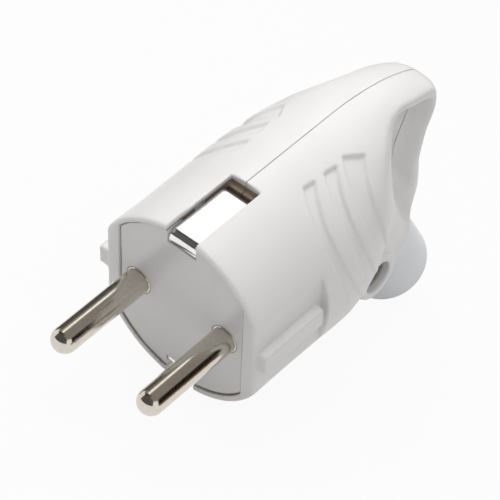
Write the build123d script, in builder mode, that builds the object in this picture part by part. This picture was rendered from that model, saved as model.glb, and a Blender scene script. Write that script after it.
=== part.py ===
from build123d import *
import math
import os

os.makedirs("parts", exist_ok=True)

# Electrical plug with two round pins, two side earth contacts and a pull handle.
# X runs across the pins, Y from the front face to the handle, Z through the earth contacts.
# All sizes are in millimetres.

# Clearances
seat_gap = 0.15
bore_gap = 0.1
slot_gap = 0.2
seam_gap = 0.1

# Pins
pin_diameter = 4.8
pin_pitch = 19.0
pin_length = 19.5
pin_root_radius = 2.6
pin_shoulder_radius = 3.1
pin_block = 6.6
pin_block_length = 10.0
pin_block_edge = 0.6
wire_bore_radius = 1.8
wire_bore_depth = 5.0

# Terminal screws of the pins
pin_screw_radius = 1.5
pin_screw_depth = 4.2
pin_screw_head_radius = 2.5
pin_screw_head_height = 1.9
pin_washer_side = 6.0
pin_washer_thickness = 0.8
driver_slot = 0.8

# Flange, the round front of the housing
flange_radius = 18.6
flange_length = 16.5
flange_edge = 0.6
rim_wall = 1.45
flat_offset = 16.4
flat_wall = 2.9
rib_reach = 18.4
rib_height = 3.8
rib_length = 14.6
rib_front = 0.4
rib_edge = 0.4

# Front insert
insert_front = 0.4
insert_plate = 3.6
insert_neck = 3.0
insert_collar = 2.0
insert_neck_step = 1.0
insert_wall = 1.8
insert_boss_wall = 1.6
pin_shoulder_y = 5.0

# Earth bracket and its terminal
strap_width = 5.8
strap_thickness = 0.9
strap_reach = 16.6
strap_front = 0.6
strap_hook = 2.2
strap_bend = 1.3
slot_end = 0.6
earth_screw_radius = 2.0
earth_nut_side = 7.0
earth_nut_thickness = 3.2
earth_boss_wall = 1.3
earth_screw_end = 2.0
earth_saddle_width = 8.4
earth_saddle_height = 7.0
earth_saddle_thickness = 1.2
earth_washer_radius = 3.5
earth_washer_thickness = 0.9
earth_head_radius = 3.5
earth_head_height = 2.2

# Grip and handle, as outlines across the plug from the flange to the tip
wall = 2.2
shoulder_y = 25.0
shoulder_upper_width = 18.0
shoulder_lower_width = 18.3
shoulder_top = 18.2
shoulder_bottom = 19.2
waist_y = 33.0
waist_upper_width = 17.5
waist_lower_width = 15.4
waist_top = 18.2
waist_bottom = 21.4
neck_y = 41.5
neck_upper_width = 14.9
neck_lower_width = 8.4
neck_top = 18.0
neck_bottom = 25.0
bridge_y = 49.0
bridge_upper_width = 11.3
bridge_lower_width = 6.2
bridge_top = 16.6
bridge_lean = 3.0
bar_y = 55.4
bar_upper_width = 8.0
bar_lower_width = 5.8
bar_top = 14.5
bar_lean = 7.0
tail_y = 59.6
tail_upper_width = 6.0
tail_lower_width = 5.2
tail_top = 12.8
tail_lean = 10.0
tip_y = 62.6
tip_upper_width = 3.6
tip_lower_width = 3.2
tip_top = 9.5
tip_lean = 10.0

# Finger hole of the handle
hole_front = 48.5
hole_rear = 60.0
hole_top = 11.0
hole_knee_z = -3.0
hole_foot_y = 51.5
hole_foot_z = -10.0
hole_foot_width = 4.2
hole_corner = 1.8
hole_wall = 1.2

# Finger scoops: the hole widens on both sides, in two steps from the middle plane
scoop_start = 2.0
scoop_middle = 7.0
scoop_middle_front = 2.6
scoop_middle_rear = 0.6
scoop_middle_top = 4.5
scoop_middle_foot = 3.0
scoop_middle_corner = 2.4
scoop_end = 13.0
scoop_end_front = 10.5
scoop_end_rear = 2.0
scoop_end_top = 12.0
scoop_end_foot = 7.5
scoop_end_corner = 3.5

# Cable outlet: its axis lies in the middle plane and leans to the rear
outlet_lean = 29.0
outlet_y = 49.6
outlet_z = -19.4
outlet_half_width = 9.2
outlet_front_reach = 11.3
outlet_depth = 13.0
outlet_floor = 5.0
cord_way_radius = 4.6
cord_way_length = 16.0

# Cable sleeve
sleeve_radius = 8.2
sleeve_length = 17.0
sleeve_edge = 0.8
sleeve_neck_radius = 6.4
sleeve_neck_length = 1.3
sleeve_flange_radius = 7.6
sleeve_flange_length = 1.5
cord_bore_radius = 4.3

# Grip hollows on both sides
hollow_count = 3
hollow_depth = 0.8
hollow_first_y = 19.2
hollow_pitch = 5.0
hollow_middle_z = 10.0
hollow_top_z = 16.9
hollow_foot_z = -4.0
hollow_top_lean = 3.2
hollow_foot_lean = 3.2
hollow_foot_growth = 1.6
hollow_width = 1.8
hollow_width_growth = 1.1

# Closing screw of the two halves, beside the cord
closing_y = 40.7
closing_z = -17.3
closing_screw_radius = 1.5
closing_head_radius = 2.75
closing_head_height = 2.0
closing_recess_radius = 3.2
closing_seat = 4.5
closing_nut_width = 5.5
closing_nut_thickness = 2.4
closing_nut_seat = 5.0
closing_boss_wall = 1.6
closing_screw_length = 11.5

# Cord clamp
clamp_y = 33.0
clamp_z = -1.0
clamp_pitch = 15.0
clamp_length = 21.0
clamp_width = 6.0
clamp_thickness = 2.4
clamp_boss_radius = 3.0
clamp_boss_top = 3.2
clamp_screw_radius = 1.25
clamp_screw_length = 9.0
clamp_head_radius = 2.5
clamp_head_height = 1.8
saddle_top = -4.2
saddle_height = 8.0

# Worked out from the sizes above
pin_x = pin_pitch / 2
pin_radius = pin_diameter / 2
insert_radius = flange_radius - rim_wall - seat_gap
insert_half_width = flat_offset - flat_wall - seat_gap
insert_neck_start = insert_front + insert_plate
insert_neck_end = insert_neck_start + insert_neck
insert_rear = insert_neck_end + insert_collar
block_start = insert_rear + seat_gap
block_end = block_start + pin_block_length
strap_middle = strap_reach - strap_thickness / 2
bridge_front = block_start + earth_nut_thickness + 1.6
bridge_middle = bridge_front + strap_thickness / 2
pin_screw_y = block_end - pin_washer_side / 2 - pin_block_edge
pin_washer_z = pin_block / 2 + bore_gap
pin_screw_seat_z = pin_washer_z + pin_washer_thickness + bore_gap
nut_front = bridge_front - seat_gap - earth_nut_thickness
saddle_plate_y = bridge_front + strap_thickness + bore_gap
spring_washer_y = saddle_plate_y + earth_saddle_thickness + bore_gap
earth_screw_seat_y = spring_washer_y + earth_washer_thickness + bore_gap
chamber_rear = hole_front - wall
outlet_plane = Plane(
    origin=(0, outlet_y, outlet_z),
    x_dir=(1, 0, 0),
    z_dir=(0, math.sin(math.radians(outlet_lean)), -math.cos(math.radians(outlet_lean))),
)


def across(y, lean=0.0):
    """A plane across the plug's axis; its own Y points down, and forward where it leans."""
    tilt = math.radians(lean)
    return Plane(origin=(0, y, 0), x_dir=(1, 0, 0), z_dir=(0, math.cos(tilt), -math.sin(tilt)))


def screw_seat(plane, along, up, height):
    """The plane under a screw's head, at a place on a main plane and a height above it."""
    return plane.offset(height).shift_origin(plane.offset(height).from_local_coords((along, up, 0)))


def clamp_screw_plane(side):
    """The plane under the head of the upper or lower clamp screw."""
    height = clamp_boss_top + 2 * bore_gap + clamp_thickness
    return screw_seat(Plane.YZ, clamp_y, clamp_z + side * clamp_pitch / 2, height)


def outlet_face_point(reach):
    """A point of the middle plane on the outlet's flat face, as Y and Z."""
    lean = math.radians(outlet_lean)
    return (outlet_y + reach * math.cos(lean), outlet_z + reach * math.sin(lean))


def rest_lean():
    """How far the plug's front leans down when it stands on the front edge and the sleeve."""
    lean = math.radians(outlet_lean)
    sleeve_reach = seat_gap + sleeve_length - sleeve_edge
    sleeve_side = sleeve_radius - sleeve_edge
    foot_y = outlet_y + sleeve_reach * math.sin(lean) - sleeve_side * math.cos(lean)
    foot_z = outlet_z - sleeve_reach * math.cos(lean) - sleeve_side * math.sin(lean)
    along = foot_y - flange_edge
    drop = flange_edge - flange_radius - foot_z
    distance = math.hypot(along, drop)
    return math.degrees(math.atan2(drop, along) - math.asin((flange_edge - sleeve_edge) / distance))


def oval(plane, upper_width, lower_width, top, bottom, squareness, inset):
    """Closed smooth egg-shaped outline: rounder for 2, squarer above; widths are half widths."""
    points = []
    for step in range(24):
        angle = math.radians(15 * step)
        along = math.cos(angle)
        rise = math.sin(angle)
        width = (upper_width + lower_width + (upper_width - lower_width) * rise) / 2 - inset
        height = (top if rise > 0 else bottom) - inset
        x = width * math.copysign(abs(along) ** (2 / squareness), along)
        z = height * math.copysign(abs(rise) ** (2 / squareness), rise)
        points.append((x, -z))
    with BuildSketch(plane) as outline:
        with BuildLine():
            Spline(*points, periodic=True)
        make_face()
    return outline.sketch


def grip_form(inset):
    """The grip and handle as one smooth form, drawn in by the inset on all sides."""
    radius = flange_radius
    with BuildPart() as form:
        for y in (0, flange_length / 2, flange_length):
            add(oval(across(y), radius, radius, radius, radius, 2.0, inset))
        add(oval(across(shoulder_y), shoulder_upper_width, shoulder_lower_width,
                 shoulder_top, shoulder_bottom, 2.0, inset))
        add(oval(across(waist_y), waist_upper_width, waist_lower_width,
                 waist_top, waist_bottom, 2.1, inset))
        add(oval(across(neck_y), neck_upper_width, neck_lower_width,
                 neck_top, neck_bottom, 2.2, inset))
        add(oval(across(bridge_y, bridge_lean), bridge_upper_width, bridge_lower_width,
                 bridge_top, neck_bottom, 2.4, inset))
        add(oval(across(bar_y, bar_lean), bar_upper_width, bar_lower_width,
                 bar_top, neck_bottom, 2.5, inset))
        add(oval(across(tail_y, tail_lean), tail_upper_width, tail_lower_width,
                 tail_top, neck_bottom, 2.5, inset))
        add(oval(across(tip_y, tip_lean), tip_upper_width, tip_lower_width,
                 tip_top, neck_bottom, 2.3, inset))
        loft()
    return form.part


def hole_outline(x, front, rear, top, foot, corner):
    """The finger hole's outline at a distance from the middle plane, grown on its four sides."""
    with BuildSketch(Plane.YZ.offset(x)) as outline:
        with BuildLine():
            Polyline(
                (hole_front - front, hole_knee_z),
                (hole_foot_y - front / 2, hole_foot_z - foot),
                (hole_foot_y + hole_foot_width + rear, hole_foot_z - foot),
                (hole_rear + rear, hole_top + top),
                (hole_front - front, hole_top + top),
                close=True,
            )
        make_face()
        fillet(vertices(), corner)
    return outline.sketch


def finger_scoop(side):
    """The smooth widening of the finger hole towards one side."""
    with BuildPart() as scoop:
        add(hole_outline(side * scoop_start, 0, 0, 0, 0, hole_corner))
        add(hole_outline(side * scoop_middle, scoop_middle_front, scoop_middle_rear,
                         scoop_middle_top, scoop_middle_foot, scoop_middle_corner))
        add(hole_outline(side * scoop_end, scoop_end_front, scoop_end_rear,
                         scoop_end_top, scoop_end_foot, scoop_end_corner))
        loft()
    return scoop.part


def insert_outline(y, radius, half_width):
    """A circle with its left and right sides cut flat."""
    with BuildSketch(across(y)) as outline:
        Circle(radius)
        Rectangle(2 * half_width, 2 * radius, mode=Mode.INTERSECT)
    return outline.sketch


# Grip hollows: three crescents on each flank, cut to an even depth
with BuildPart() as hollows:
    with BuildSketch(Plane.YZ):
        for number in range(hollow_count):
            front_y = hollow_first_y + hollow_pitch * number
            top_y = front_y + hollow_top_lean
            foot_y = front_y + hollow_foot_lean + hollow_foot_growth * number
            width = hollow_width + hollow_width_growth * number
            foot = (foot_y, hollow_foot_z)
            with BuildLine():
                ThreePointArc((top_y, hollow_top_z), (front_y, hollow_middle_z), foot)
                ThreePointArc(foot, (front_y + width, hollow_middle_z), (top_y + width, hollow_top_z))
                Line((top_y + width, hollow_top_z), (top_y, hollow_top_z))
            make_face()
    extrude(amount=flange_radius + 2, both=True)
    add(grip_form(hollow_depth), mode=Mode.SUBTRACT)

# Outlet block: a rounded prism along the cord's axis, kept below the finger hole
with BuildPart() as outlet_block:
    with BuildSketch(outlet_plane):
        Circle(outlet_half_width)
        with Locations((0, outlet_front_reach / 2)):
            Rectangle(2 * outlet_half_width, outlet_front_reach)
    extrude(amount=-2 * outlet_depth)
    with BuildSketch(Plane.YZ):
        with BuildLine():
            Polyline(
                outlet_face_point(-outlet_front_reach),
                outlet_face_point(outlet_half_width),
                (hole_foot_y + hole_foot_width, hole_foot_z - hole_wall),
                (hole_foot_y, hole_foot_z - hole_wall),
                (hole_front, hole_foot_z),
                (neck_y - outlet_depth / 2, hole_foot_z),
                (neck_y - outlet_depth / 2, outlet_z),
                close=True,
            )
        make_face()
    extrude(amount=outlet_half_width, both=True, mode=Mode.INTERSECT)

# Outer form of the whole housing
with BuildPart() as housing:
    add(grip_form(0))
    with BuildSketch(Plane.YZ):
        with BuildLine():
            Polyline(
                (hole_front, hole_knee_z),
                (hole_foot_y, hole_foot_z),
                (hole_foot_y + hole_foot_width, hole_foot_z),
                (hole_rear, hole_top),
                (hole_front, hole_top),
                close=True,
            )
        make_face()
        fillet(vertices(), hole_corner)
    extrude(amount=flange_radius, both=True, mode=Mode.SUBTRACT)
    add(outlet_block.part)
    add(finger_scoop(-1), mode=Mode.SUBTRACT)
    add(finger_scoop(1), mode=Mode.SUBTRACT)
    with BuildSketch(outlet_plane):
        Rectangle(8 * flange_radius, 8 * flange_radius)
    extrude(amount=2 * flange_radius, mode=Mode.SUBTRACT)
    with BuildSketch(across(0)):
        for side in (-1, 1):
            with Locations((side * (flat_offset + flange_radius), 0)):
                Rectangle(2 * flange_radius, 2 * flange_radius)
    extrude(amount=flange_length, mode=Mode.SUBTRACT)
    fillet(housing.edges().group_by(Axis.Y)[0], flange_edge)
    add(hollows.part, mode=Mode.SUBTRACT)
    with BuildSketch(across(rib_front)):
        for side in (-1, 1):
            with Locations((side * (rib_reach + flat_offset - flat_wall) / 2, 0)):
                Rectangle(rib_reach - flat_offset + flat_wall, rib_height)
    extrude(amount=rib_length)

# Space inside the housing: chamber, seat of the insert, earth slots and cord way
with BuildPart() as space:
    add(grip_form(wall))
    with BuildSketch(across(insert_rear + seat_gap)):
        Rectangle(4 * flange_radius, 4 * flange_radius)
    extrude(amount=chamber_rear - insert_rear - seat_gap, mode=Mode.INTERSECT)
    with BuildSketch(across(0)):
        for side in (-1, 1):
            with Locations((side * (flat_offset - flat_wall + flange_radius), 0)):
                Rectangle(2 * flange_radius, 2 * flange_radius)
    extrude(amount=flange_length + wall, mode=Mode.SUBTRACT)
    with BuildSketch(outlet_plane.offset(-outlet_floor)):
        Rectangle(8 * flange_radius, 8 * flange_radius)
    extrude(amount=4 * flange_radius, mode=Mode.SUBTRACT)
    with BuildSketch(Plane.YZ):
        with Locations((closing_y, closing_z)):
            Circle(closing_recess_radius + closing_boss_wall)
    extrude(amount=flange_radius, both=True, mode=Mode.SUBTRACT)
    add(insert_outline(-1, insert_radius + seat_gap, insert_half_width + seat_gap))
    extrude(amount=insert_neck_start + seat_gap + 1, dir=(0, 1, 0))
    add(insert_outline(insert_neck_start, insert_radius - insert_neck_step + seat_gap,
                       insert_half_width + seat_gap))
    extrude(amount=insert_neck, dir=(0, 1, 0))
    add(insert_outline(insert_neck_end - seat_gap, insert_radius + seat_gap,
                       insert_half_width + seat_gap))
    extrude(amount=insert_collar + 2 * seat_gap, dir=(0, 1, 0))
    with BuildSketch(across(-1)):
        Rectangle(strap_width + 2 * slot_gap, 4 * flange_radius)
        Rectangle(strap_width + 2 * slot_gap, 2 * (strap_reach - strap_thickness - slot_gap),
                  mode=Mode.SUBTRACT)
    extrude(amount=flange_length + 1 - slot_end)
    with BuildSketch(outlet_plane.offset(1)):
        Circle(sleeve_neck_radius + bore_gap)
    extrude(amount=-(1 + 2 * sleeve_neck_length))
    with BuildSketch(outlet_plane.offset(-sleeve_neck_length)):
        Circle(sleeve_flange_radius + seat_gap)
    extrude(amount=-(sleeve_flange_length + 2 * seat_gap))
    with BuildSketch(outlet_plane.offset(-sleeve_neck_length)):
        Circle(cord_way_radius)
    extrude(amount=-cord_way_length)
    with BuildSketch(Plane.YZ.offset(closing_seat)):
        with Locations((closing_y, closing_z)):
            Circle(closing_recess_radius)
    extrude(amount=flange_radius)
    with BuildSketch(Plane.YZ.offset(-closing_nut_seat)):
        with Locations((closing_y, closing_z)):
            RegularPolygon((closing_nut_width + 2 * bore_gap) / 2, 6, major_radius=False)
    extrude(amount=-flange_radius)
    with BuildSketch(Plane.YZ):
        with Locations((closing_y, closing_z)):
            Circle(closing_screw_radius + bore_gap)
    extrude(amount=flange_radius / 2, both=True)

# Bosses and saddle rib of the cord clamp, inside the left half
with BuildPart() as clamp_seat:
    with BuildSketch(Plane.YZ.offset(clamp_boss_top)):
        with Locations((clamp_y, clamp_z - clamp_pitch / 2), (clamp_y, clamp_z + clamp_pitch / 2)):
            Circle(clamp_boss_radius)
    extrude(amount=-(clamp_boss_top + flange_radius))
    with BuildSketch(Plane.YZ.offset(saddle_top)):
        with Locations((clamp_y, clamp_z)):
            Rectangle(clamp_boss_radius, saddle_height)
    extrude(amount=-(flange_radius + saddle_top))
    add(grip_form(wall / 2), mode=Mode.INTERSECT)

# The two halves of the housing, parted on the middle plane
with BuildPart() as left_shell:
    add(housing.part)
    add(space.part, mode=Mode.SUBTRACT)
    split(bisect_by=Plane.YZ.offset(-seam_gap / 2), keep=Keep.BOTTOM)
    add(clamp_seat.part)
    with BuildSketch(Plane.YZ.offset(clamp_boss_top)):
        with Locations((clamp_y, clamp_z - clamp_pitch / 2), (clamp_y, clamp_z + clamp_pitch / 2)):
            Circle(clamp_screw_radius + bore_gap)
    extrude(amount=-(clamp_screw_length - clamp_thickness), mode=Mode.SUBTRACT)

with BuildPart() as right_shell:
    add(housing.part)
    add(space.part, mode=Mode.SUBTRACT)
    split(bisect_by=Plane.YZ.offset(seam_gap / 2), keep=Keep.TOP)

# Front insert: plate, neck and collar, hollow behind, with a seat for each pin and the earth nut
with BuildPart() as pin_bosses:
    with BuildSketch(across(insert_front)):
        with Locations((-pin_x, 0), (pin_x, 0)):
            Circle(pin_shoulder_radius + insert_boss_wall)
    extrude(amount=insert_rear - insert_front)

with BuildPart() as insert_hollow:
    add(insert_outline(insert_front + insert_wall, insert_radius - insert_neck_step - insert_wall,
                       insert_half_width - insert_wall))
    extrude(amount=insert_rear, dir=(0, 1, 0))
    add(pin_bosses.part, mode=Mode.SUBTRACT)

with BuildPart() as front_insert:
    add(insert_outline(insert_front, insert_radius, insert_half_width))
    extrude(amount=insert_plate, dir=(0, 1, 0))
    add(insert_outline(insert_neck_start, insert_radius - insert_neck_step, insert_half_width))
    extrude(amount=insert_neck, dir=(0, 1, 0))
    add(insert_outline(insert_neck_end, insert_radius, insert_half_width))
    extrude(amount=insert_collar, dir=(0, 1, 0))
    add(insert_hollow.part, mode=Mode.SUBTRACT)
    with BuildSketch(across(insert_front + insert_wall)):
        Rectangle(earth_nut_side + 2 * earth_boss_wall, earth_nut_side + 2 * earth_boss_wall)
    extrude(amount=bridge_front - seat_gap - insert_front - insert_wall)
    with BuildSketch(across(bridge_front - seat_gap)):
        Rectangle(earth_nut_side + 2 * bore_gap, earth_nut_side + 2 * bore_gap)
    extrude(amount=-(earth_nut_thickness + seat_gap), mode=Mode.SUBTRACT)
    with BuildSketch(across(bridge_front)):
        Circle(earth_screw_radius + bore_gap)
    extrude(amount=-(earth_nut_thickness + earth_screw_end), mode=Mode.SUBTRACT)
    with BuildSketch(across(insert_front)):
        with Locations((-pin_x, 0), (pin_x, 0)):
            Circle(pin_root_radius + bore_gap)
    extrude(amount=insert_rear, mode=Mode.SUBTRACT)
    with BuildSketch(across(pin_shoulder_y - seat_gap)):
        with Locations((-pin_x, 0), (pin_x, 0)):
            Circle(pin_shoulder_radius + bore_gap)
    extrude(amount=insert_rear, mode=Mode.SUBTRACT)
    with BuildSketch(across(insert_front)):
        Rectangle(strap_width + 2 * slot_gap, 4 * flange_radius)
        Rectangle(strap_width + 2 * slot_gap, 2 * (strap_reach - strap_thickness - slot_gap),
                  mode=Mode.SUBTRACT)
    extrude(amount=insert_rear, mode=Mode.SUBTRACT)
    with BuildSketch(across(insert_front)):
        Rectangle(strap_width + 2 * slot_gap, 4 * flange_radius)
        Rectangle(strap_width + 2 * slot_gap, 2 * (strap_reach - strap_hook - slot_gap),
                  mode=Mode.SUBTRACT)
    extrude(amount=strap_front - insert_front + strap_bend + strap_thickness, mode=Mode.SUBTRACT)

# Contact pins, each with its terminal screw and washer
def pin_body(side):
    """A round pin with its root and shoulder in the insert and the terminal block behind it."""
    axis_x = side * pin_x
    half = math.sqrt(0.5) * pin_radius
    with BuildPart() as body:
        with BuildSketch(Plane.XY):
            with BuildLine():
                ThreePointArc(
                    (axis_x, -pin_length),
                    (axis_x + half, pin_radius - half - pin_length),
                    (axis_x + pin_radius, pin_radius - pin_length),
                )
                Polyline(
                    (axis_x + pin_radius, pin_radius - pin_length),
                    (axis_x + pin_radius, insert_front),
                    (axis_x + pin_root_radius, insert_front),
                    (axis_x + pin_root_radius, pin_shoulder_y),
                    (axis_x + pin_shoulder_radius, pin_shoulder_y),
                    (axis_x + pin_shoulder_radius, block_start),
                    (axis_x, block_start),
                    (axis_x, -pin_length),
                )
            make_face()
        revolve(axis=Axis((axis_x, 0, 0), (0, 1, 0)))
        with BuildSketch(across(block_start)):
            with Locations((axis_x, 0)):
                RectangleRounded(pin_block, pin_block, pin_block_edge)
        extrude(amount=pin_block_length)
        with BuildSketch(across(block_end)):
            with Locations((axis_x, 0)):
                Circle(wire_bore_radius)
        extrude(amount=-wire_bore_depth, mode=Mode.SUBTRACT)
        with BuildSketch(Plane.XY):
            with Locations((axis_x, pin_screw_y)):
                Circle(pin_screw_radius + bore_gap)
        extrude(amount=pin_block, mode=Mode.SUBTRACT)
    return body.part


def pin_washer(side):
    """The square clamping plate on a pin's terminal block."""
    with BuildPart() as plate:
        with BuildSketch(Plane.XY.offset(pin_washer_z)):
            with Locations((side * pin_x, pin_screw_y)):
                Rectangle(pin_washer_side, pin_washer_side)
                Circle(pin_screw_radius + bore_gap, mode=Mode.SUBTRACT)
        extrude(amount=pin_washer_thickness)
    return plate.part


def slotted_screw(plane, head_radius, head_height, shaft_radius, shaft_length):
    """A cheese-head screw: its head stands on the plane, its shaft goes down from it."""
    with BuildPart() as screw:
        with BuildSketch(plane):
            Circle(head_radius)
        extrude(amount=head_height)
        chamfer(screw.faces().sort_by(Axis(plane.origin, plane.z_dir))[-1].edges(), driver_slot / 4)
        with BuildSketch(plane):
            Circle(shaft_radius)
        extrude(amount=-shaft_length)
        with BuildSketch(plane.offset(head_height)):
            Rectangle(2 * head_radius, driver_slot)
        extrude(amount=-head_height / 2, mode=Mode.SUBTRACT)
    return screw.part


# Earth bracket: one strip bent round both contact sides and across the middle
with BuildPart() as earth_bracket:
    with BuildSketch(Plane.YZ):
        with BuildLine():
            FilletPolyline(
                (strap_front + strap_thickness / 2, strap_reach - strap_hook),
                (strap_front + strap_thickness / 2, strap_middle),
                (bridge_middle, strap_middle),
                (bridge_middle, -strap_middle),
                (strap_front + strap_thickness / 2, -strap_middle),
                (strap_front + strap_thickness / 2, strap_hook - strap_reach),
                radius=strap_bend,
            )
        trace(line_width=strap_thickness)
    extrude(amount=strap_width / 2, both=True)
    with BuildSketch(across(bridge_front - strap_thickness)):
        Circle(earth_screw_radius + bore_gap)
    extrude(amount=3 * strap_thickness, mode=Mode.SUBTRACT)

# Earth terminal: nut, saddle, spring washer and screw
with BuildPart() as earth_nut:
    with BuildSketch(across(bridge_front - seat_gap)):
        Rectangle(earth_nut_side, earth_nut_side)
        Circle(earth_screw_radius + bore_gap, mode=Mode.SUBTRACT)
    extrude(amount=-earth_nut_thickness)

with BuildPart() as earth_saddle:
    with BuildSketch(across(saddle_plate_y)):
        RectangleRounded(earth_saddle_width, earth_saddle_height, earth_saddle_thickness)
        Circle(earth_screw_radius + bore_gap, mode=Mode.SUBTRACT)
    extrude(amount=earth_saddle_thickness)

with BuildPart() as earth_spring_washer:
    with BuildSketch(across(spring_washer_y)):
        Circle(earth_washer_radius)
        Circle(earth_screw_radius + bore_gap, mode=Mode.SUBTRACT)
        with Locations((earth_washer_radius, 0)):
            Rectangle(2 * earth_washer_radius - earth_screw_radius, seat_gap, mode=Mode.SUBTRACT)
    extrude(amount=earth_washer_thickness)

# Cord clamp bar
with BuildPart() as cord_clamp:
    with BuildSketch(Plane.YZ.offset(clamp_boss_top + bore_gap)):
        with Locations((clamp_y, clamp_z)):
            SlotOverall(clamp_length, clamp_width, rotation=90)
        with Locations((clamp_y, clamp_z - clamp_pitch / 2), (clamp_y, clamp_z + clamp_pitch / 2)):
            Circle(clamp_screw_radius + bore_gap, mode=Mode.SUBTRACT)
    extrude(amount=clamp_thickness)

# Hexagonal nut of the closing screw
with BuildPart() as closing_nut:
    with BuildSketch(Plane.YZ.offset(-closing_nut_seat - bore_gap)):
        with Locations((closing_y, closing_z)):
            RegularPolygon(closing_nut_width / 2, 6, major_radius=False)
            Circle(closing_screw_radius + bore_gap, mode=Mode.SUBTRACT)
    extrude(amount=-closing_nut_thickness)

# Cable sleeve: tube outside the outlet, neck through its wall, flange behind it
with BuildPart() as cable_sleeve:
    with BuildSketch(outlet_plane.offset(seat_gap)):
        Circle(sleeve_radius)
    extrude(amount=sleeve_length)
    end_face = cable_sleeve.faces().sort_by(Axis(outlet_plane.origin, outlet_plane.z_dir))[-1]
    fillet(end_face.edges(), sleeve_edge)
    with BuildSketch(outlet_plane.offset(seat_gap)):
        Circle(sleeve_neck_radius)
    extrude(amount=-(sleeve_neck_length + 2 * seat_gap))
    with BuildSketch(outlet_plane.offset(-sleeve_neck_length - seat_gap)):
        Circle(sleeve_flange_radius)
    extrude(amount=-sleeve_flange_length)
    with BuildSketch(outlet_plane.offset(sleeve_length + seat_gap)):
        Circle(cord_bore_radius)
    extrude(amount=-2 * sleeve_length, mode=Mode.SUBTRACT)

pieces = {
    "left_shell": left_shell.part,
    "right_shell": right_shell.part,
    "front_insert": front_insert.part,
    "pin_left": pin_body(-1),
    "pin_right": pin_body(1),
    "pin_washer_left": pin_washer(-1),
    "pin_washer_right": pin_washer(1),
    "pin_screw_left": slotted_screw(screw_seat(Plane.XY, -pin_x, pin_screw_y, pin_screw_seat_z),
                                    pin_screw_head_radius, pin_screw_head_height,
                                    pin_screw_radius, pin_screw_depth),
    "pin_screw_right": slotted_screw(screw_seat(Plane.XY, pin_x, pin_screw_y, pin_screw_seat_z),
                                     pin_screw_head_radius, pin_screw_head_height,
                                     pin_screw_radius, pin_screw_depth),
    "earth_bracket": earth_bracket.part,
    "earth_nut": earth_nut.part,
    "earth_saddle": earth_saddle.part,
    "earth_spring_washer": earth_spring_washer.part,
    "earth_screw": slotted_screw(across(earth_screw_seat_y), earth_head_radius, earth_head_height,
                                 earth_screw_radius, earth_screw_seat_y - nut_front),
    "cord_clamp": cord_clamp.part,
    "cord_clamp_screw_lower": slotted_screw(clamp_screw_plane(-1), clamp_head_radius,
                                            clamp_head_height, clamp_screw_radius,
                                            clamp_screw_length),
    "cord_clamp_screw_upper": slotted_screw(clamp_screw_plane(1), clamp_head_radius,
                                            clamp_head_height, clamp_screw_radius,
                                            clamp_screw_length),
    "closing_screw": slotted_screw(screw_seat(Plane.YZ, closing_y, closing_z,
                                              closing_seat + bore_gap),
                                   closing_head_radius, closing_head_height,
                                   closing_screw_radius, closing_screw_length),
    "closing_nut": closing_nut.part,
    "cable_sleeve": cable_sleeve.part,
}

# The plug stands on the lower edge of its front and on the edge of the sleeve's end
rest_turn = Rotation(rest_lean(), 0, 0)
standing = Compound([rest_turn * piece for piece in pieces.values()]).bounding_box()
to_floor = Pos(-standing.center().X, -standing.center().Y, -standing.min.Z)
for name, piece in pieces.items():
    placed = to_floor * rest_turn * piece
    placed.label = name
    export_step(placed, f"parts/{name}.step")
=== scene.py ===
import math

import bmesh
import bpy
import numpy as np
from mathutils import Matrix, Vector


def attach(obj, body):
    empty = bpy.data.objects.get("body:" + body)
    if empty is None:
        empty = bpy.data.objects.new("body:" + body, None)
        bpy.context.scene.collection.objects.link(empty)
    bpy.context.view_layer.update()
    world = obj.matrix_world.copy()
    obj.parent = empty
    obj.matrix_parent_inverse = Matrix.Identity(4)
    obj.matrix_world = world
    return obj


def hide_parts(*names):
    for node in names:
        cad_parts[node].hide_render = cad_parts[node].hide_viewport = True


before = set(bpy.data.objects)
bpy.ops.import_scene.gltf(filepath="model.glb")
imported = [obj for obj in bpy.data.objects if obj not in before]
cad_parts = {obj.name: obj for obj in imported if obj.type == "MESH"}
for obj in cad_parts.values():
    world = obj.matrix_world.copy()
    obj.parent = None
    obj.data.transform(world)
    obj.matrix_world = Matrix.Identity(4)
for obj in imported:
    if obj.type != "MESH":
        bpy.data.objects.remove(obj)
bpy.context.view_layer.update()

# Where the plug's own axes lie in the frame: its nose leans down onto the rim
MM = 0.001
SEAM = 0.1
NOSE_LEAN = math.radians(21.1329)
AXIS_SHIFT = Vector((0.0, -26.5006, 17.2176))

# Sizes of the housing that its finish follows too, in the plug's own millimetres
SLOT_HALF_WIDTH = 3.1
SLOT_FLOOR = 15.5
SLOT_REAR = 15.9
SEAT_RADIUS = 17.15
SEAT_HALF_WIDTH = 13.5
CLOSING_PLACE = (40.7, -17.3)


# Shader tools ---------------------------------------------------------------------------


class Wire:
    """An output of a shader node, with arithmetic that adds the nodes for it."""

    def __init__(self, tree, socket):
        self.tree = tree
        self.socket = socket

    def math(self, operation, *values):
        inputs = dict(enumerate(values))
        return self.tree.node("ShaderNodeMath", {"operation": operation}, inputs)["Value"]

    def __add__(self, other):
        return self.math("ADD", self, other)

    __radd__ = __add__

    def __mul__(self, other):
        return self.math("MULTIPLY", self, other)

    __rmul__ = __mul__

    def __sub__(self, other):
        return self.math("SUBTRACT", self, other)

    def __rsub__(self, other):
        return self.math("SUBTRACT", other, self)

    def __pow__(self, other):
        return self.math("POWER", self, other)

    def __abs__(self):
        return self.math("ABSOLUTE", self)

    def above(self, edge, softness):
        """0 below the edge, 1 above it, with a soft step between."""
        return self.tree.step(self, edge - softness, edge + softness)

    def larger(self, other):
        return self.math("MAXIMUM", self, other)


# Sockets of the Mix node that carry its factor and its two colours
MIX_FACTOR, MIX_FIRST, MIX_SECOND = 0, 6, 7


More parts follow.
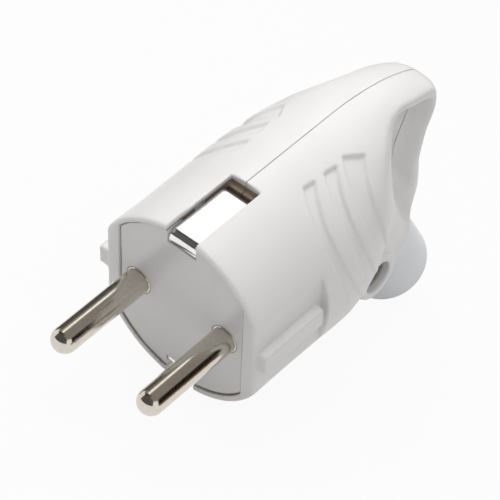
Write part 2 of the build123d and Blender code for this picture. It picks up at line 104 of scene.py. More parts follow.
class Tree:
    """A node tree that starts empty; every node in it comes from node()."""

    def __init__(self, tree):
        self.tree = tree
        self.tree.nodes.clear()

    def node(self, kind, settings=None, inputs=None):
        made = self.tree.nodes.new(kind)
        for key, value in (settings or {}).items():
            setattr(made, key, value)
        for key, value in (inputs or {}).items():
            socket = made.inputs[key]
            if isinstance(value, Wire):
                self.tree.links.new(value.socket, socket)
            else:
                socket.default_value = value
        shown = [socket for socket in made.outputs if socket.enabled]
        return {socket.name: Wire(self, socket) for socket in shown}

    def step(self, value, start, end):
        settings = {"interpolation_type": "SMOOTHSTEP"}
        inputs = {"Value": value, "From Min": start, "From Max": end}
        return self.node("ShaderNodeMapRange", settings, inputs)["Result"]

    def mix(self, factor, first, second):
        """A colour between two colours."""
        inputs = {MIX_FACTOR: factor, MIX_FIRST: first, MIX_SECOND: second}
        return self.node("ShaderNodeMix", {"data_type": "RGBA"}, inputs)["Result"]

    def noise(self, place, scale, detail=2.0, roughness=0.5):
        inputs = {"Vector": place, "Scale": scale, "Detail": detail, "Roughness": roughness}
        return self.node("ShaderNodeTexNoise", {}, inputs)["Fac"]

    def bump(self, height, strength, distance, normal=None):
        inputs = {"Height": height, "Strength": strength, "Distance": distance}
        if normal:
            inputs["Normal"] = normal
        return self.node("ShaderNodeBump", {}, inputs)["Normal"]

    def soft_edges(self, radius):
        return self.node("ShaderNodeBevel", {"samples": 6}, {"Radius": radius})["Normal"]


class Finish(Tree):
    """A material in the plug's own millimetre coordinates."""

    def __init__(self, name):
        self.material = bpy.data.materials.new(name)
        self.material.use_nodes = True
        super().__init__(self.material.node_tree)
        flat = self.node("ShaderNodeTexCoord")["Object"]
        self.place = self.node(
            "ShaderNodeMapping",
            {"vector_type": "TEXTURE"},
            {
                "Vector": flat,
                "Location": AXIS_SHIFT * MM,
                "Rotation": (NOSE_LEAN, 0.0, 0.0),
                "Scale": (MM, MM, MM),
            },
        )["Vector"]
        parts = self.node("ShaderNodeSeparateXYZ", {}, {"Vector": self.place})
        self.x, self.y, self.z = parts["X"], parts["Y"], parts["Z"]

    def stretched(self, x, y, z):
        """The plug's coordinates with each axis scaled, for grain that runs one way."""
        inputs = {"Vector": self.place, "Scale": (x, y, z)}
        return self.node("ShaderNodeMapping", {"vector_type": "POINT"}, inputs)["Vector"]

    def surface(self, inputs):
        shader = self.node("ShaderNodeBsdfPrincipled", {}, inputs)["BSDF"]
        self.node("ShaderNodeOutputMaterial", {}, {"Surface": shader})
        return self.material


def grey(level, warmth=0.0):
    return (level * (1 + warmth), level, level * (1 - warmth), 1.0)


# Finishes -------------------------------------------------------------------------------

# Painted shade: a brown mixed into the plastics where shade falls in the earth slots, the insert's
# seat, the gap at the insert's rim and the screw recess, with the strength and reach of each
PAINTED_SHADE_BROWN = (0.26, 0.2, 0.15, 1.0)
SEAT_SHADE_STRENGTH = 0.75
RECESS_SHADE_STRENGTH = 0.8
RIM_SHADE_STRENGTH = 0.8
SLOT_SHADE_TOP = 17.15
SEAT_SHADE_END = 5.0
RECESS_SHADE_END = 9.2
RECESS_SHADE_SQUARE = 11.2
INSERT_RIM = 16.82


def within(value, edge, softness):
    """1 below the edge, 0 above it, with a soft step between."""
    return 1 - value.above(edge, softness)


def painted_slot_shade(finish):
    """Painted shade on the earth slots' walls, the insert's seat and the screw recess, where shade
    falls.
    """
    across, rise = abs(finish.x), abs(finish.z)
    slot = within(across, SLOT_HALF_WIDTH + 0.04, 0.02) * rise.above(SLOT_FLOOR - 0.5, 0.1)
    slot = slot * within(finish.y, SLOT_REAR + 0.05, 0.05) * within(rise, SLOT_SHADE_TOP, 0.25)
    radius = (across * across + rise * rise) ** 0.5
    seat = within(radius, SEAT_RADIUS + 0.07, 0.03) * within(across, SEAT_HALF_WIDTH - 0.3, 0.3)
    seat = seat * within(finish.y, SEAT_SHADE_END, 0.5) * SEAT_SHADE_STRENGTH
    ahead, drop = finish.y - CLOSING_PLACE[0], finish.z - CLOSING_PLACE[1]
    recess = within(ahead * ahead + drop * drop, RECESS_SHADE_SQUARE, 0.4)
    recess = recess * within(finish.x, RECESS_SHADE_END, 0.4) * finish.x.above(0.0, 0.1)
    return slot.larger(seat).larger(recess * RECESS_SHADE_STRENGTH)


def painted_rim_shade(finish):
    """Painted shade: a thin dark line round the insert's edge, in its gap to the shell, broken into
    patches.
    """
    across, rise = abs(finish.x), abs(finish.z)
    radius = (across * across + rise * rise) ** 0.5
    patch = finish.step(finish.noise(finish.place, 0.16, 1.0), 0.4, 0.55)
    return radius.above(INSERT_RIM, 0.06) * patch * RIM_SHADE_STRENGTH


def moulded_plastic(name, colour, shade, roughness, grain, edge, painted_shade=None):
    """Opaque moulded plastic: soft edges, a fine grain and a faint unevenness of colour."""
    finish = Finish(name)
    cloud = finish.noise(finish.place, 0.12, 3.0)
    fine = finish.noise(finish.place, 9.0, 3.0)
    flow = finish.noise(finish.stretched(0.5, 0.12, 0.5), 1.0, 2.0)
    colour_mix = finish.mix(finish.step(cloud * 0.7 + flow * 0.3, 0.3, 0.7), shade, colour)
    # Where a mask is given, painted shade in a brown is mixed into the colour
    if painted_shade:
        colour_mix = finish.mix(painted_shade(finish), colour_mix, PAINTED_SHADE_BROWN)
    normal = finish.bump(fine, grain, 0.00002, finish.soft_edges(edge))
    return finish.surface(
        {
            "Base Color": colour_mix,
            "Roughness": roughness + 0.08 * fine,
            "Specular IOR Level": 0.45,
            "Normal": normal,
        }
    )


def drawn_metal(name, colour, shade, roughness, grain_scale, grain, edge=0.00015):
    """Plated metal with fine lines along the plug and small differences of shine."""
    finish = Finish(name)
    lines = finish.noise(finish.stretched(*grain_scale), 1.0, 4.0, 0.6)
    spots = finish.noise(finish.place, 1.6, 3.0)
    normal = finish.bump(lines, grain, 0.00001, finish.soft_edges(edge))
    return finish.surface(
        {
            "Base Color": finish.mix(finish.step(spots, 0.3, 0.75), colour, shade),
            "Metallic": 1.0,
            "Roughness": roughness + 0.1 * lines,
            "Normal": normal,
        }
    )


# The housing and the insert carry painted shade in their slots, seat, screw recess and rim gap
housing_plastic = moulded_plastic(
    "housing_white", grey(0.80, 0.012), grey(0.775, 0.014), 0.34, 0.12, 0.0004, painted_slot_shade
)
insert_plastic = moulded_plastic(
    "insert_gloss_white", grey(0.74, 0.008), grey(0.72, 0.01), 0.14, 0.04, 0.00025, painted_rim_shade
)
sleeve_plastic = moulded_plastic(
    "sleeve_cool_white", (0.76, 0.775, 0.80, 1.0), (0.74, 0.755, 0.785, 1.0), 0.3, 0.08, 0.0003
)
clamp_plastic = moulded_plastic(
    "clamp_white", grey(0.7, 0.01), grey(0.66, 0.012), 0.4, 0.1, 0.0003
)
pin_nickel = drawn_metal(
    "pin_nickel", (0.70, 0.655, 0.585, 1.0), (0.64, 0.59, 0.52, 1.0), 0.1, (4.0, 0.15, 4.0), 0.12
)
strip_nickel = drawn_metal(
    "strip_bright_nickel",
    (0.88, 0.89, 0.90, 1.0),
    (0.82, 0.83, 0.85, 1.0),
    0.1,
    (6.0, 0.2, 6.0),
    0.15,
)
screw_steel = drawn_metal(
    "screw_zinc", (0.62, 0.63, 0.65, 1.0), (0.52, 0.52, 0.54, 1.0), 0.28, (3.0, 3.0, 3.0), 0.3
)

FINISH_OF_SLOT = {
    "housing": housing_plastic,
    "insert": insert_plastic,
    "sleeve": sleeve_plastic,
    "clamp": clamp_plastic,
    "pins": pin_nickel,
    "earth_strip": strip_nickel,
    "steel": screw_steel,
}
FINISH_OF_NODE = {
    "left_shell": "housing",
    "right_shell": "housing",
    "front_insert": "insert",
    "cable_sleeve": "sleeve",
    "cord_clamp": "clamp",
    "pin_left": "pins",
    "pin_right": "pins",
    "earth_bracket": "earth_strip",
}
for name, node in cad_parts.items():
    finish = FINISH_OF_SLOT[FINISH_OF_NODE.get(name, "steel")]
    node.data.materials.clear()
    node.data.materials.append(finish)


# Housing, moulded as one smooth form and parted into two shells --------------------------

# Rows across the plug: place along it, upper and lower half width, top, bottom, squareness
STATIONS = np.array(
    [
        (-3.0, 18.1, 18.5, 18.3, 18.6, 2.0),
        (0.0, 18.1, 18.5, 18.3, 18.6, 2.0),
        (8.0, 17.9, 18.5, 18.2, 18.7, 2.0),
        (16.5, 18.0, 18.6, 18.2, 18.9, 2.0),
        (25.0, 18.2, 18.4, 18.2, 19.6, 2.0),
        (33.0, 17.9, 15.0, 18.2, 21.6, 2.1),
        (41.5, 15.6, 9.0, 18.0, 25.0, 2.25),
        (49.0, 12.4, 7.4, 16.6, 25.0, 2.4),
        (55.4, 9.7, 5.8, 13.8, 25.0, 2.5),
        (59.6, 7.8, 4.8, 11.2, 25.0, 2.5),
        (66.0, 5.6, 4.0, 6.5, 25.0, 2.4),
    ]
)
# Rows along the plug: place and how far the section leans back for each millimetre of height
HANDLE_LEAN = np.array(
    [(-3.0, 0.0), (38.0, 0.0), (49.0, 0.06), (55.4, 0.16), (60.0, 0.24), (70.0, 0.24)]
)
LEAN_FOOT = -6.0
TIP_END = 62.2
TIP_ROUNDING = 5.0
# The handle's waist: depth, height of its middle, reach up and down, and where it starts
HANDLE_WAIST = 1.3
WAIST_MIDDLE = -3.0
WAIST_REACH = 8.5
WAIST_START = (52.0, 58.0)
WALL = 2.2

# Grip hollows: front edge, width, curl of the front edge, spread to the top, upper end in
# degrees at the front edge, and how far that end falls to the rear
HOLLOWS = (
    (19.2, 1.8, 0.0031, 0.0010, 68.0, 0.4),
    (24.5, 1.9, 0.0029, 0.0013, 67.0, 0.4),
    (28.7, 3.7, 0.0035, 0.0022, 67.5, 1.35),
)
HOLLOW_DEPTH = 0.62
HOLLOW_WAIST = 36.0
HOLLOW_EDGE = 0.22
HOLLOW_FADE = (30.0, -40.0)
# The same curl and spread below the waist, and the softness of the upper end in degrees
HOLLOW_LOW_CURL = 0.0016
HOLLOW_LOW_SPREAD = 0.0004
HOLLOW_END_SOFTNESS = 0.8

OUTLET_LEAN = math.radians(29.0)
OUTLET_PLACE = (49.6, -19.4)
OUTLET_HALF_WIDTH = 9.2
OUTLET_FRONT = 11.3
OUTLET_TOP = -11.2

# Round boss and recess of the closing screw: radius and face, radius and bottom; its nut's recess
CLOSING_BOSS = (4.7, 10.6)
CLOSING_RECESS = (3.2, 4.5)
CLOSING_POST = 4.8
NUT_RECESS = (2.85, -5.0)

# Scoops of the finger hole: half width of the straight middle between them, growth to the
# front for the distance outward, and the front, foot and top edges
SCOOP_START = 2.0
SCOOP_GROWTH = 0.283
SCOOP_EDGES = (48.5, -10.0, 10.8)
SCOOP_TOP_GROWTH = 0.78
SCOOP_FOOT_GROWTH = 5.0
KNEE_FRONT = 51.5
KNEE_SLOPE = 3.0 / 7.0
KNEE_EVEN = 0.92
KNEE_EASE = 0.283
# Rear edge: place below the bend, limit above it, slope, and growth outward
REAR_EDGE = (56.3, 60.4, 0.58, 0.18)
REAR_BEND = 3.0
REAR_ROUNDINGS = (3.0, 2.0)
REAR_EVEN = 0.9
# Straight middle of the finger hole: front, foot and top edges; both tops fall to the rear
HOLE_EDGES = (48.2, -9.6, 12.0)
HOLE_FALL = 0.33
HOLE_FALL_START = 49.5
# Corner roundings at the knee, foot, rear and top of the scoops, and at the rear, top and
# foot of the straight middle
SCOOP_CORNERS = (3.0, 4.0, 3.5, 3.2)
HOLE_CORNERS = (1.6, 2.4, 2.4)

# Edge roundings and soft joins of the housing's parts
OUTLET_CORNERS = (2.0, 1.5)
OUTLET_JOIN = 3.0
OUTLET_EDGE = 0.9
BOSS_EDGE = 0.6
BOSS_JOIN = 2.2
SCOOP_RIM = 2.6
HOLE_RIM = 0.7
FLAT_EDGE = 0.35
FRONT_EDGE = 0.9
RIB_JOIN = 0.3
INNER_EDGE = 0.25

# Side flats of the flange, ribs on them from corner to corner, and the stop behind each
# earth strip
FLANGE_LENGTH = 16.5
FLAT_OFFSET = 16.4
RIB_BOX = ((13.5, 0.5, -1.8), (18.3, 14.9, 1.8))
RIB_SWELL = 0.1
STRIP_STOP = ((-1.0, 15.0, 13.6), (3.5, 17.5, 16.3))

# Inside: chamber and seat of the insert with its groove, from front to rear
CHAMBER_ENDS = (9.15, 46.3)
SEAT_END = 9.3
GROOVE_RADIUS = 16.15
GROOVE_MIDDLE = 5.5
GROOVE_HALF_WIDTH = 1.35
SLOT_BOX = ((-4.0, -3.0, SLOT_FLOOR), (SLOT_HALF_WIDTH, SLOT_REAR, 25.0))
# Mouth and pocket for the sleeve and way for the cord: radius, then places along the outlet
MOUTH = (6.5, 2.0)
POCKET = (7.75, -2.2, 0.9)
POCKET_WALL = 0.6
CORD_WAY = (4.6, -1.0, -17.3)
OUTLET_FLOOR = 5.0


def soft_max(first, second, rounding):
    """The larger of two fields, with a rounded edge where they meet."""
    near = np.maximum(rounding - np.abs(first - second), 0.0) / rounding
    return np.maximum(first, second) + near * near * rounding * 0.25


def soft_min(first, second, rounding):
    return -soft_max(-first, -second, rounding)


def step(value, start, end):
    ramp = np.clip((value - start) / (end - start), 0.0, 1.0)
    return ramp * ramp * (3 - 2 * ramp)


def through(rows, column, place):
    """A smooth curve through one column of a table."""
    along = rows[:, 0]
    values = rows[:, column]
    slopes = np.gradient(values, along)
    index = np.clip(np.searchsorted(along, place) - 1, 0, len(along) - 2)
    length = along[index + 1] - along[index]
    part = np.clip((place - along[index]) / length, 0.0, 1.0)
    rest = 1 - part
    left = (1 + 2 * part) * rest**2 * values[index] + part * rest**2 * length * slopes[index]
    right = (3 - 2 * part) * values[index + 1] - rest * length * slopes[index + 1]
    return left + part**2 * right


def grip_field(x, y, z):
    """Distance to the smooth grip and handle, without hole, hollows or outlet."""
    lean = np.interp(y, HANDLE_LEAN[:, 0], HANDLE_LEAN[:, 1])
    along = y - np.maximum(z, LEAN_FOOT) * lean
    upper, lower, top, bottom, square = (through(STATIONS, column, along) for column in range(1, 6))
    height = np.where(z > 0, top, bottom)
    rise = np.sign(z) * np.minimum(np.abs(z) / height, 1.0) ** (square / 2)
    waist = np.exp(-(((z - WAIST_MIDDLE) / WAIST_REACH) ** 2))
    waist *= HANDLE_WAIST * step(along, *WAIST_START)
    width = (upper + lower + (upper - lower) * rise) / 2 - waist
    share = ((np.abs(x) / width) ** square + (np.abs(z) / height) ** square) ** (1 / square)
    radial = np.hypot(x, z) * (1 - 1 / np.maximum(share, 1e-6))
    return soft_max(radial, along - TIP_END, TIP_ROUNDING)


def hollow_field(x, y, z):
    """How deep the grip hollows go in at each place."""
    angle = np.degrees(np.arctan2(z, np.abs(x)))
    depth = np.zeros_like(x)
    for front, width, curl, spread, end, fall in HOLLOWS:
        swing = angle - HOLLOW_WAIST
        bend = np.where(swing > 0, curl, HOLLOW_LOW_CURL) * swing * swing
        widen = np.where(swing > 0, spread, HOLLOW_LOW_SPREAD) * swing * swing
        front_edge = front + bend
        rear_edge = front_edge + width + widen
        inside = step(y, front_edge - HOLLOW_EDGE, front_edge + HOLLOW_EDGE)
        inside *= 1 - step(y, rear_edge - HOLLOW_EDGE, rear_edge + HOLLOW_EDGE)
        upper_end = end - fall * (y - front_edge)
        inside *= 1 - step(angle, upper_end - HOLLOW_END_SOFTNESS, upper_end + HOLLOW_END_SOFTNESS)
        depth += inside * step(angle, HOLLOW_FADE[1], HOLLOW_FADE[0])
    return depth * HOLLOW_DEPTH


def outlet_axes(y, z):
    """Distance out of the outlet's flat face, and the place along it in the middle plane."""
    along, up = y - OUTLET_PLACE[0], z - OUTLET_PLACE[1]
    out = along * math.sin(OUTLET_LEAN) - up * math.cos(OUTLET_LEAN)
    reach = along * math.cos(OUTLET_LEAN) + up * math.sin(OUTLET_LEAN)
    return out, reach


def outlet_field(x, y, z):
    out, reach = outlet_axes(y, z)
    round_end = np.hypot(x, np.maximum(reach, 0.0)) - OUTLET_HALF_WIDTH
    block = soft_max(round_end, -OUTLET_FRONT - reach, OUTLET_CORNERS[0])
    return soft_max(block, z - OUTLET_TOP, OUTLET_CORNERS[1])


def finger_hole_fields(x, y, z):
    """The scoops that widen the finger hole towards both sides, and its straight middle."""
    grown = np.maximum(np.abs(x) - SCOOP_START, 0.0)
    forward = SCOOP_GROWTH * grown**1.5
    front_edge, foot_edge, top_edge = SCOOP_EDGES
    front = front_edge - forward - y
    knee = (KNEE_FRONT - 0.5 * forward - y + (foot_edge - z) * KNEE_SLOPE) * KNEE_EVEN
    foot = foot_edge - np.minimum(grown, SCOOP_FOOT_GROWTH) - z
    low, limit, slope, growth = REAR_EDGE
    rear_edge = low + slope * soft_max(z + REAR_BEND, np.zeros_like(z), REAR_ROUNDINGS[0])
    rear_edge = soft_min(rear_edge, np.full_like(z, limit), REAR_ROUNDINGS[1])
    rear = (y - rear_edge - growth * grown) * REAR_EVEN
    fall = HOLE_FALL * np.maximum(y - HOLE_FALL_START, 0.0)
    top = z - top_edge - SCOOP_TOP_GROWTH * grown + fall
    scoop = front
    for edge, rounding in zip((knee, foot, rear, top), SCOOP_CORNERS):
        scoop = soft_max(scoop, edge, rounding)
    front_edge, foot_edge, top_edge = HOLE_EDGES
    hole = np.maximum(front_edge - y, knee - KNEE_EASE * forward)
    for edge, rounding in zip((rear, z - top_edge + fall, foot_edge - z), HOLE_CORNERS):
        hole = soft_max(hole, edge, rounding)
    return scoop, hole


def box_field(x, y, z, low, high):
    field = np.maximum(low[0] - x, x - high[0])
    field = np.maximum(field, np.maximum(low[1] - y, y - high[1]))
    return np.maximum(field, np.maximum(low[2] - z, z - high[2]))


def outside_field(x, y, z):
    """The housing's outer form."""
    side = np.abs(x)
    form = soft_min(grip_field(x, y, z), outlet_field(x, y, z), OUTLET_JOIN)
    boss = np.hypot(y - CLOSING_PLACE[0], z - CLOSING_PLACE[1]) - CLOSING_BOSS[0]
    form = soft_min(form, soft_max(boss, side - CLOSING_BOSS[1], BOSS_EDGE), BOSS_JOIN)
    scoop, hole = finger_hole_fields(x, y, z)
    form = soft_max(form, -scoop, SCOOP_RIM)
    form = soft_max(form, -hole, HOLE_RIM)
    form = soft_max(form, outlet_axes(y, z)[0], OUTLET_EDGE)
    form = form + hollow_field(x, y, z)
    flats = np.minimum(side - FLAT_OFFSET, FLANGE_LENGTH - y)
    form = soft_max(form, flats, FLAT_EDGE)
    form = soft_max(form, -y, FRONT_EDGE)
    return soft_min(form, box_field(side, y, z, *RIB_BOX) - RIB_SWELL, RIB_JOIN)


def chamber_field(x, y, z):
    """The space for terminals and cord clamp, kept one wall away from everything round it."""
    side = np.abs(x)
    closing = np.hypot(y - CLOSING_PLACE[0], z - CLOSING_PLACE[1])
    front, rear = CHAMBER_ENDS
    chamber = np.maximum(grip_field(x, y, z) + WALL, np.maximum(front - y, y - rear))
    flats = np.minimum(side - SEAT_HALF_WIDTH, FLANGE_LENGTH + WALL - y)
    chamber = np.maximum(chamber, flats)
    chamber = np.maximum(chamber, outlet_axes(y, z)[0] + OUTLET_FLOOR)
    chamber = np.maximum(chamber, CLOSING_POST - closing)
    return np.maximum(chamber, WALL - np.minimum(*finger_hole_fields(x, y, z)))


def closing_spaces(x, y, z):
    """The round recess for the closing screw, and the six-sided one for its nut."""
    ahead, rise = y - CLOSING_PLACE[0], z - CLOSING_PLACE[1]
    distance = np.hypot(ahead, rise)
    recess = np.maximum(distance - CLOSING_RECESS[0], CLOSING_RECESS[1] - x)
    corner = (np.arctan2(rise, ahead) + math.pi / 6) % (math.pi / 3) - math.pi / 6
    nut_recess = np.maximum(distance * np.cos(corner) - NUT_RECESS[0], x - NUT_RECESS[1])
    return recess, nut_recess


def cord_spaces(x, y, z):
    """The mouth and the pocket that hold the sleeve, and the way for the cord."""
    out, reach = outlet_axes(y, z)
    across = np.hypot(x, reach)
    mouth = np.maximum(across - MOUTH[0], -out - MOUTH[1])
    radius, middle, half_width = POCKET
    pocket = np.maximum(across - radius, np.abs(out - middle) - half_width)
    pocket = np.maximum(pocket, POCKET_WALL - np.minimum(*finger_hole_fields(x, y, z)))
    radius, start, end = CORD_WAY
    way = np.maximum(across - radius, np.maximum(out - start, end - out))
    return mouth, pocket, way


def inside_field(x, y, z):
    """All the space inside the housing."""
    side = np.abs(x)
    grooved = np.abs(y - GROOVE_MIDDLE) < GROOVE_HALF_WIDTH
    round_part = np.hypot(x, z) - np.where(grooved, GROOVE_RADIUS, SEAT_RADIUS)
    seat = np.maximum(np.maximum(round_part, side - SEAT_HALF_WIDTH), y - SEAT_END)
    space = np.minimum(chamber_field(x, y, z), seat)
    space = np.minimum(space, box_field(side, y, np.abs(z), *SLOT_BOX))
    for part in (*cord_spaces(x, y, z), *closing_spaces(x, y, z)):
        space = np.minimum(space, part)
    return space


def housing_field(x, y, z):
    """The moulded housing, with the stops behind the earth strips."""
    form = soft_max(outside_field(x, y, z), -inside_field(x, y, z), INNER_EDGE)
    return np.minimum(form, box_field(np.abs(x), y, np.abs(z), *STRIP_STOP))


def surface_points(values):
    """One point in each cell of a grid that the surface runs through, in cells, and its number."""
    inside = values < 0
    shape = tuple(size - 1 for size in values.shape)
    total = np.zeros(shape + (3,))
    count = np.zeros(shape)
    corners = [(i, j, k) for i in (0, 1) for j in (0, 1) for k in (0, 1)]
    for axis in range(3):
        for corner in corners:
            if corner[axis]:
                continue
            other = tuple(value + (number == axis) for number, value in enumerate(corner))
            first, second = (
                values[tuple(slice(c, c + length) for c, length in zip(place, shape))]
                for place in (corner, other)
            )
            crossed = (first < 0) != (second < 0)
            part = np.where(crossed, first / np.where(crossed, first - second, 1.0), 0.0)
            for number in range(3):
                place = part if number == axis else corner[number]
                total[..., number] += np.where(crossed, place, 0.0)
            count += crossed
    active = count > 0
    numbers = np.full(shape, -1)
    numbers[active] = np.arange(active.sum())
    return np.argwhere(active) + total[active] / count[active][:, None], numbers, inside


def surface_faces(numbers, inside):
    """A four-sided face round each grid edge that the surface crosses."""
    faces = []
    for axis in range(3):
        one, two = (axis + 1) % 3, (axis + 2) % 3
        here = [slice(1, -1)] * 3
        here[axis] = slice(0, -1)
        there = list(here)
        there[axis] = slice(1, None)
        start, end = inside[tuple(here)], inside[tuple(there)]
        edges = np.argwhere(start != end)
        outward = start[tuple(edges.T)]
        edges[:, one] += 1
        edges[:, two] += 1
        ring = []
        for back_one, back_two in ((1, 1), (0, 1), (0, 0), (1, 0)):
            at = edges.copy()
            at[:, one] -= back_one
            at[:, two] -= back_two
            ring.append(numbers[tuple(at.T)])
        ring = np.stack(ring, 1)
        ring[~outward] = ring[~outward][:, ::-1]
        faces.append(ring)
    return np.concatenate(faces)


def mesh_of(field, low, high, cell):
    """Points and four-sided faces on a field's zero surface."""
    axes = [np.arange(start, end + cell, cell) for start, end in zip(low, high)]
    places, numbers, inside = surface_points(field(*np.meshgrid(*axes, indexing="ij")))
    return np.array(low) + cell * places, surface_faces(numbers, inside)


SETTLE_ROUNDS = 5


def settle(points, field, cell):
    """Moves points onto the field's zero surface."""
    reach = 0.03
    for _ in range(SETTLE_ROUNDS):
        value = field(*points.T)
        slope = []
        for axis in reach * np.eye(3):
            rise = field(*(points + axis).T) - field(*(points - axis).T)
            slope.append(rise / (2 * reach))
        slope = np.stack(slope, 1)
        move = slope * (value / np.maximum((slope**2).sum(1), 0.05))[:, None]
        length = np.linalg.norm(move, axis=1, keepdims=True)
        points = points - move * np.minimum(1.0, 0.5 * cell / np.maximum(length, 1e-9))
    return points


def part_shell(name, points, faces, side):
    """One half of the housing, cut at the seam and closed there."""
    own = points[faces].mean(1)[:, 0] * side > -1.0
    used, numbers = np.unique(faces[own], return_inverse=True)
    form = bmesh.new()
    vertices = [form.verts.new(point) for point in points[used]]
    for face in numbers.reshape(-1, 4):
        form.faces.new([vertices[number] for number in face])
    everything = form.verts[:] + form.edges[:] + form.faces[:]
    cut = bmesh.ops.bisect_plane(
        form,
        geom=everything,
        plane_co=(side * SEAM / 2, 0, 0),
        plane_no=(-side, 0, 0),
        clear_outer=True,
    )
    rim = [part for part in cut["geom_cut"] if isinstance(part, bmesh.types.BMEdge)]
    bmesh.ops.triangle_fill(form, edges=rim, use_beauty=True)
    to_frame = Matrix.Translation(AXIS_SHIFT) @ Matrix.Rotation(NOSE_LEAN, 4, "X")
    bmesh.ops.transform(form, matrix=Matrix.Scale(MM, 4) @ to_frame, verts=form.verts)
    mesh = bpy.data.meshes.new(name)
    form.to_mesh(mesh)
    form.free()
    mesh.shade_smooth()
    mesh.set_sharp_from_angle(angle=math.radians(50))
    mesh.materials.append(housing_plastic)
    piece = bpy.data.objects.new(name, mesh)
    bpy.context.scene.collection.objects.link(piece)
    return piece


FINE_CELL = 0.36
GRID_CORNERS = ((-19.3, -1.0, -27.5), (19.3, 66.0, 20.0))


def add_housing():
    cell = FINE_CELL
    points, faces = mesh_of(housing_field, *GRID_CORNERS, cell)
    points = settle(points, housing_field, cell)
    for node, side in (("left_shell", -1), ("right_shell", 1)):
        piece = part_shell(node + "_moulding", points, faces, side)
        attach(piece, "root")
        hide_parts(node)


add_housing()


# Camera ---------------------------------------------------------------------------------


def plug_point(x, y, z):
    """A point given in the plug's own millimetres, in the frame's metres."""
    return (Matrix.Rotation(NOSE_LEAN, 3, "X") @ Vector((x, y, z)) + AXIS_SHIFT) * MM


# Angles of the camera round the plug, its aim and distance in the plug's own millimetres
CAMERA_ANGLES = (39.24, 47.56, 2.49)
CAMERA_AIM = Vector((-1.90, 20.0, -2.75))
CAMERA_DISTANCE = 400
CAMERA_LENS = 169.49


def add_camera():
    turn, rise, roll = (math.radians(angle) for angle in CAMERA_ANGLES)
    right = Vector((math.cos(turn), math.sin(turn), 0))
    level = Vector((math.sin(turn), -math.cos(turn), 0))
    back = level * math.cos(rise) + Vector((0, 0, math.sin(rise)))
    up = back.cross(right)
    rolled_right = right * math.cos(roll) + up * math.sin(roll)
    rolled_up = up * math.cos(roll) - right * math.sin(roll)
    lean = Matrix.Rotation(NOSE_LEAN, 3, "X")
    axes = Matrix([lean @ rolled_right, lean @ rolled_up, lean @ back]).transposed()
    lens = bpy.data.cameras.new("photo_camera")
    lens.lens = CAMERA_LENS
    lens.sensor_width = 36.0
    lens.clip_start = 0.01
    camera = bpy.data.objects.new("photo_camera", lens)
    place = plug_point(*(CAMERA_AIM + CAMERA_DISTANCE * back))
    camera.matrix_world = Matrix.Translation(place) @ axes.to_4x4()
    bpy.context.scene.collection.objects.link(camera)
    bpy.context.scene.camera = camera


add_camera()


# Floor, backdrop and lamps --------------------------------------------------------------


SOFT_LIGHT = 0.5
FLOOR_GREY = 0.66
FLOOR_WHITENESS = 0.93
FLOOR_REACH = 3.0


def shown_rays(tree):
    """1 for rays that show a white ground: from the camera, a mirror or clear matter."""
    rays = tree.node("ShaderNodeLightPath")
    mirrored = rays["Is Camera Ray"].larger(rays["Is Glossy Ray"])
    return mirrored.larger(rays["Is Transmission Ray"])


def white_world():
    world = bpy.data.worlds.new("studio")
    bpy.context.scene.world = world
    world.use_nodes = True
    tree = Tree(world.node_tree)
    shown = shown_rays(tree)
    soft, white = (
        tree.node("ShaderNodeBackground", {}, {"Color": grey(1.0), "Strength": strength})
        for strength in (SOFT_LIGHT, 1.0)
    )
    shaders = {0: shown, 1: soft["Background"], 2: white["Background"]}
    both = tree.node("ShaderNodeMixShader", {}, shaders)["Shader"]
    tree.node("ShaderNodeOutputWorld", {}, {"Surface": both})


def mesh_piece(name, corners, faces, material):
    mesh = bpy.data.meshes.new(name)
    mesh.from_pydata([Vector(corner) for corner in corners], [], faces)
    mesh.materials.append(material)
    piece = bpy.data.objects.new(name, mesh)
    bpy.context.scene.collection.objects.link(piece)
    return piece


def floor_finish():
    material = bpy.data.materials.new("white_floor")
    material.use_nodes = True
    tree = Tree(material.node_tree)
    share = shown_rays(tree) * FLOOR_WHITENESS
    matte = tree.node("ShaderNodeBsdfDiffuse", {}, {"Color": grey(FLOOR_GREY)})["BSDF"]
    white = tree.node("ShaderNodeEmission", {}, {"Color": grey(1.0), "Strength": 1.0})["Emission"]
    both = tree.node("ShaderNodeMixShader", {}, {0: share, 1: matte, 2: white})["Shader"]
    tree.node("ShaderNodeOutputMaterial", {}, {"Surface": both})
    return material


def add_floor():
    signs = ((-1, -1), (1, -1), (1, 1), (-1, 1))
    corners = [(x * FLOOR_REACH, y * FLOOR_REACH, 0) for x, y in signs]
    mesh_piece("floor", corners, [(0, 1, 2, 3)], floor_finish())


LAMP_AIM = Vector((0, 0, 0.02))


def add_lamp(name, place, size, power):
    """A soft lamp that points at the plug and isn't mirrored in it."""
    light = bpy.data.lights.new(name, "AREA")
    light.shape = "SQUARE"
    light.size = size
    light.energy = power
    lamp = bpy.data.objects.new(name, light)
    lamp.location = place
    lamp.rotation_euler = (Vector(place) - LAMP_AIM).to_track_quat("Z", "Y").to_euler()
    lamp.visible_glossy = False
    bpy.context.scene.collection.objects.link(lamp)


CARD_BLUR = 0.01
CARD_FOOT = 0.002
ROOF_HEIGHT = 0.44


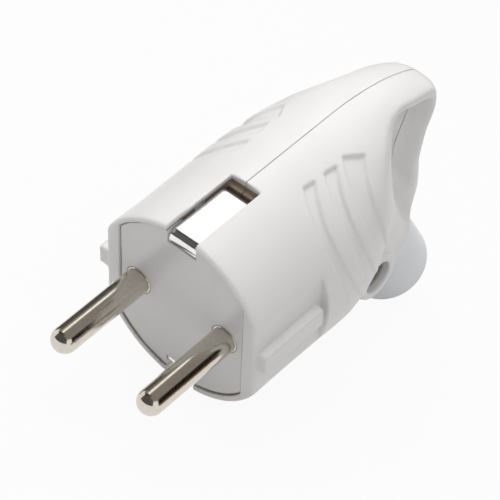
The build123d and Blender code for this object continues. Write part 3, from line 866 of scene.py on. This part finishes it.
def card_finish(name, low, high, middle):
    """A matt card for the metal to mirror: one colour below a height, another above it."""
    material = bpy.data.materials.new(name)
    material.use_nodes = True
    tree = Tree(material.node_tree)
    place = tree.node("ShaderNodeTexCoord")["Object"]
    height = tree.node("ShaderNodeSeparateXYZ", {}, {"Vector": place})["Z"]
    above = tree.step(height, middle - CARD_BLUR, middle + CARD_BLUR)
    colour = tree.mix(above, low, high)
    shader = tree.node("ShaderNodeEmission", {}, {"Color": colour, "Strength": 1.0})["Emission"]
    tree.node("ShaderNodeOutputMaterial", {}, {"Surface": shader})
    return material


def hang_card(name, corners, material):
    """A card that is seen only in reflections."""
    card = mesh_piece(name, corners, [(0, 1, 2, 3)], material)
    card.visible_camera = False
    card.visible_diffuse = False
    card.visible_shadow = False


def add_card(name, start, end, top, material):
    """An upright card beside the plug."""
    low, high = ([(*corner, height) for corner in (start, end)] for height in (CARD_FOOT, top))
    hang_card(name, low + high[::-1], material)


def add_roof_card(name, low, high, material):
    """A level card above the plug."""
    corners = (low, (high[0], low[1]), high, (low[0], high[1]))
    hang_card(name, [(*corner, ROOF_HEIGHT) for corner in corners], material)


white_world()
add_floor()
dark_card = card_finish("dark_card", (0.20, 0.11, 0.06, 1.0), grey(0.012), 0.05)
grey_card = card_finish("grey_card", grey(0.05), grey(0.10, 0.06), 0.05)
roof_card = card_finish("roof_card", grey(0.26, 0.08), grey(0.26, 0.08), 0.0)
bright_card = card_finish("bright_card", grey(1.3, 0.02), grey(1.3, 0.02), 0.0)
dark_roof_card = card_finish("dark_roof_card", grey(0.04), grey(0.04), 0.0)
add_card("right_card", (0.26, -0.02), (0.04, 0.26), 0.2, dark_card)
add_card("left_card", (-0.04, 0.24), (-0.26, 0.0), 0.22, grey_card)
add_card("front_card", (-0.4, -0.3), (0.4, -0.34), 0.42, grey_card)
add_roof_card("roof_card_right", (-0.13, -0.34), (0.6, 0.6), roof_card)
add_roof_card("roof_card_left", (-0.8, -0.17), (-0.27, 0.6), roof_card)
add_roof_card("streak_card", (-0.27, -0.17), (-0.13, 0.6), bright_card)
add_roof_card("roof_card_front", (-0.6, -0.5), (0.05, -0.17), dark_roof_card)
add_lamp("top_lamp", (-0.14, 0.02, 0.42), 0.34, 1.2)
add_lamp("side_lamp", (0.24, -0.14, 0.36), 0.12, 0.22)

bpy.context.scene.view_settings.view_transform = "Standard"
